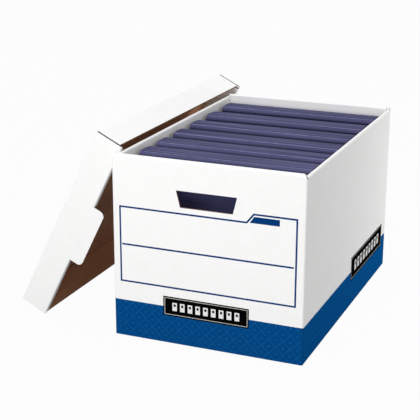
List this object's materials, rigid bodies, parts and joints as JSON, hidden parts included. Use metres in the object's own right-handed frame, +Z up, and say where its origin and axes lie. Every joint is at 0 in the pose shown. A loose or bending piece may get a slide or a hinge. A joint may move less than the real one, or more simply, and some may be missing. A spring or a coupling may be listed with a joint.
{
  "type": "storage carton with ring binders",
  "caption": "Corrugated board storage carton with hand holes, its lid leaning on its side, filled with a row of dark vinyl ring binders that lift out.",
  "frame": {"origin": "middle of the carton's underside", "axes": "+X to the carton's right, away from the leaning lid; +Y from the front end wall to the back; +Z up"},
  "size_m": [0.5276, 0.5628, 0.3386],
  "materials": {
    "white_coated_board": "satin",
    "kraft_board": "matte",
    "binder_vinyl": "satin",
    "nickel_plated_steel": "polished"
  },
  "bodies": {
    "carton": {"carton_front_wall": "white_coated_board", "carton_back_wall": "white_coated_board", "carton_left_wall": "white_coated_board", "carton_right_wall": "white_coated_board", "bottom_flap_left": "kraft_board", "bottom_flap_right": "kraft_board", "bottom_flap_front": "kraft_board", "bottom_flap_back": "kraft_board"},
    "lid": {"lid_top": "white_coated_board", "lid_front_flap": "white_coated_board", "lid_back_flap": "white_coated_board"},
    "binder_1": {"binder_1_cover": "binder_vinyl", "binder_1_ring_plate": "nickel_plated_steel", "binder_1_rivets": "nickel_plated_steel"},
    "binder_1_upper_rings": {"binder_1_upper_rings": "nickel_plated_steel"},
    "binder_1_lower_rings": {"binder_1_lower_rings": "nickel_plated_steel"},
    "binder_2": {"binder_2_cover": "binder_vinyl", "binder_2_ring_plate": "nickel_plated_steel", "binder_2_rivets": "nickel_plated_steel"},
    "binder_2_upper_rings": {"binder_2_upper_rings": "nickel_plated_steel"},
    "binder_2_lower_rings": {"binder_2_lower_rings": "nickel_plated_steel"},
    "binder_3": {"binder_3_cover": "binder_vinyl", "binder_3_ring_plate": "nickel_plated_steel", "binder_3_rivets": "nickel_plated_steel"},
    "binder_3_upper_rings": {"binder_3_upper_rings": "nickel_plated_steel"},
    "binder_3_lower_rings": {"binder_3_lower_rings": "nickel_plated_steel"},
    "binder_4": {"binder_4_cover": "binder_vinyl", "binder_4_ring_plate": "nickel_plated_steel", "binder_4_rivets": "nickel_plated_steel"},
    "binder_4_upper_rings": {"binder_4_upper_rings": "nickel_plated_steel"},
    "binder_4_lower_rings": {"binder_4_lower_rings": "nickel_plated_steel"},
    "binder_5": {"binder_5_cover": "binder_vinyl", "binder_5_ring_plate": "nickel_plated_steel", "binder_5_rivets": "nickel_plated_steel"},
    "binder_5_upper_rings": {"binder_5_upper_rings": "nickel_plated_steel"},
    "binder_5_lower_rings": {"binder_5_lower_rings": "nickel_plated_steel"},
    "binder_6": {"binder_6_cover": "binder_vinyl", "binder_6_ring_plate": "nickel_plated_steel", "binder_6_rivets": "nickel_plated_steel"},
    "binder_6_upper_rings": {"binder_6_upper_rings": "nickel_plated_steel"},
    "binder_6_lower_rings": {"binder_6_lower_rings": "nickel_plated_steel"}
  },
  "joints": [
    {"name": "lid_lift", "type": "slide", "parent": "carton", "child": "lid", "axis": [0, 0, 1], "range_m": [0, 0.35]},
    {"name": "binder_1_lift", "type": "slide", "parent": "carton", "child": "binder_1", "axis": [0, 0, 1], "range_m": [0, 0.31]},
    {"name": "binder_1_rings_open", "type": "hinge", "parent": "binder_1", "child": "binder_1_upper_rings", "pos_m": [0, -0.1455, 0.2619], "axis": [-1, 0, 0], "range_deg": [0, 14]},
    {"name": "binder_1_lower_rings_open", "type": "hinge", "parent": "binder_1", "child": "binder_1_lower_rings", "pos_m": [0, -0.1455, 0.2619], "axis": [1, 0, 0], "range_deg": [0, 14]},
    {"name": "binder_2_lift", "type": "slide", "parent": "carton", "child": "binder_2", "axis": [0, 0, 1], "range_m": [0, 0.31]},
    {"name": "binder_2_rings_open", "type": "hinge", "parent": "binder_2", "child": "binder_2_upper_rings", "pos_m": [0, -0.0797, 0.2619], "axis": [-1, 0, 0], "range_deg": [0, 14]},
    {"name": "binder_2_lower_rings_open", "type": "hinge", "parent": "binder_2", "child": "binder_2_lower_rings", "pos_m": [0, -0.0797, 0.2619], "axis": [1, 0, 0], "range_deg": [0, 14]},
    {"name": "binder_3_lift", "type": "slide", "parent": "carton", "child": "binder_3", "axis": [0, 0, 1], "range_m": [0, 0.31]},
    {"name": "binder_3_rings_open", "type": "hinge", "parent": "binder_3", "child": "binder_3_upper_rings", "pos_m": [0, -0.0099, 0.2619], "axis": [-1, 0, 0], "range_deg": [0, 14]},
    {"name": "binder_3_lower_rings_open", "type": "hinge", "parent": "binder_3", "child": "binder_3_lower_rings", "pos_m": [0, -0.0099, 0.2619], "axis": [1, 0, 0], "range_deg": [0, 14]},
    {"name": "binder_4_lift", "type": "slide", "parent": "carton", "child": "binder_4", "axis": [0, 0, 1], "range_m": [0, 0.31]},
    {"name": "binder_4_rings_open", "type": "hinge", "parent": "binder_4", "child": "binder_4_upper_rings", "pos_m": [0, 0.0639, 0.2619], "axis": [-1, 0, 0], "range_deg": [0, 14]},
    {"name": "binder_4_lower_rings_open", "type": "hinge", "parent": "binder_4", "child": "binder_4_lower_rings", "pos_m": [0, 0.0639, 0.2619], "axis": [1, 0, 0], "range_deg": [0, 14]},
    {"name": "binder_5_lift", "type": "slide", "parent": "carton", "child": "binder_5", "axis": [0, 0, 1], "range_m": [0, 0.31]},
    {"name": "binder_5_rings_open", "type": "hinge", "parent": "binder_5", "child": "binder_5_upper_rings", "pos_m": [0, 0.1417, 0.2619], "axis": [-1, 0, 0], "range_deg": [0, 14]},
    {"name": "binder_5_lower_rings_open", "type": "hinge", "parent": "binder_5", "child": "binder_5_lower_rings", "pos_m": [0, 0.1417, 0.2619], "axis": [1, 0, 0], "range_deg": [0, 14]},
    {"name": "binder_6_lift", "type": "slide", "parent": "carton", "child": "binder_6", "axis": [0, 0, 1], "range_m": [0, 0.31]},
    {"name": "binder_6_rings_open", "type": "hinge", "parent": "binder_6", "child": "binder_6_upper_rings", "pos_m": [0, 0.2235, 0.2619], "axis": [-1, 0, 0], "range_deg": [0, 14]},
    {"name": "binder_6_lower_rings_open", "type": "hinge", "parent": "binder_6", "child": "binder_6_lower_rings", "pos_m": [0, 0.2235, 0.2619], "axis": [1, 0, 0], "range_deg": [0, 14]}
  ],
  "couplings": [
    {"joint": "binder_1_lower_rings_open", "follows": "binder_1_rings_open", "ratio": 1},
    {"joint": "binder_2_lower_rings_open", "follows": "binder_2_rings_open", "ratio": 1},
    {"joint": "binder_3_lower_rings_open", "follows": "binder_3_rings_open", "ratio": 1},
    {"joint": "binder_4_lower_rings_open", "follows": "binder_4_rings_open", "ratio": 1},
    {"joint": "binder_5_lower_rings_open", "follows": "binder_5_rings_open", "ratio": 1},
    {"joint": "binder_6_lower_rings_open", "follows": "binder_6_rings_open", "ratio": 1}
  ]
}
